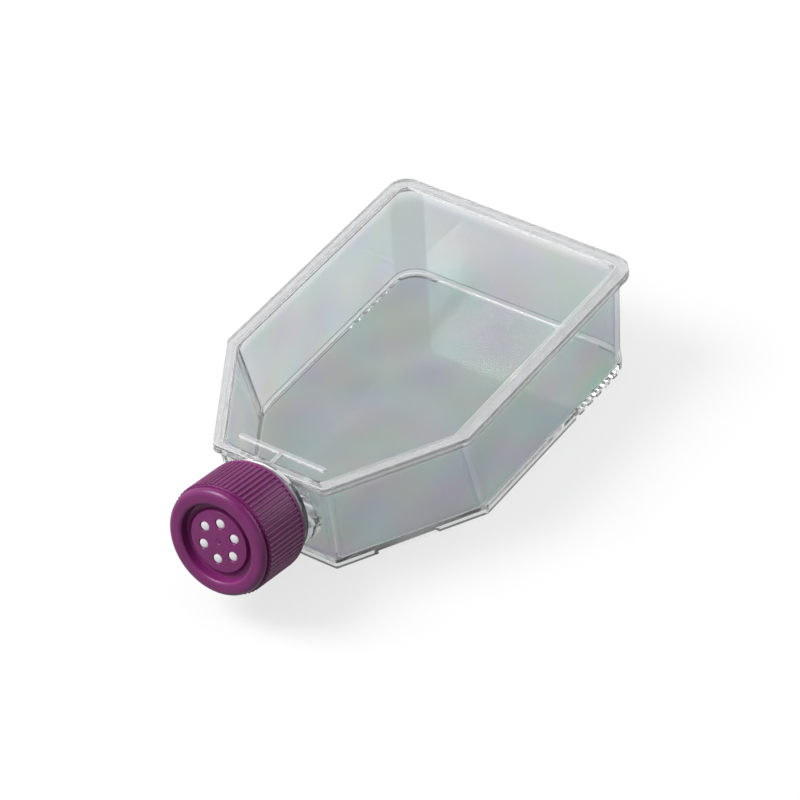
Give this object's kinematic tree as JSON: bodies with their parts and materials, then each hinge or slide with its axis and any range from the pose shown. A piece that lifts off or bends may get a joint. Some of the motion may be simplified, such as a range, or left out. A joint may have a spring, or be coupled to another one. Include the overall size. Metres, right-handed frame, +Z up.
{
  "type": "cell culture flask",
  "caption": "Flat tissue culture flask with sloping shoulders, canted neck, welded top plate and ribbed vented screw cap with a filter membrane.",
  "frame": {"origin": "under the middle of the closed flask's box, level with the underside of its feet", "axes": "+Z up, -Y towards the neck and cap, X across the flask"},
  "size_m": [0.084, 0.1584, 0.0441],
  "materials": {
    "clear_polystyrene": "clear, polished",
    "cap_plastic": "semi-matt, moulded",
    "membrane_fabric": "matt"
  },
  "bodies": {
    "flask": {"flask_tray": "clear_polystyrene", "top_plate": "clear_polystyrene"},
    "membrane": {"vent_membrane": "membrane_fabric"},
    "cap": {"screw_cap": "cap_plastic"}
  },
  "joints": [
    {"name": "cap_travel", "type": "slide", "parent": "flask", "child": "membrane", "axis": [0, -0.9781, 0.2079], "range_m": [0, 0.016]},
    {"name": "cap_turn", "type": "hinge", "parent": "membrane", "child": "cap", "pos_m": [0, -0.05697, 0.024], "axis": [0, -0.9781, 0.2079], "range_deg": [0, 720]}
  ],
  "couplings": [
    {"joint": "cap_travel", "follows": "cap_turn", "m_per_rad": 0.0012732}
  ]
}
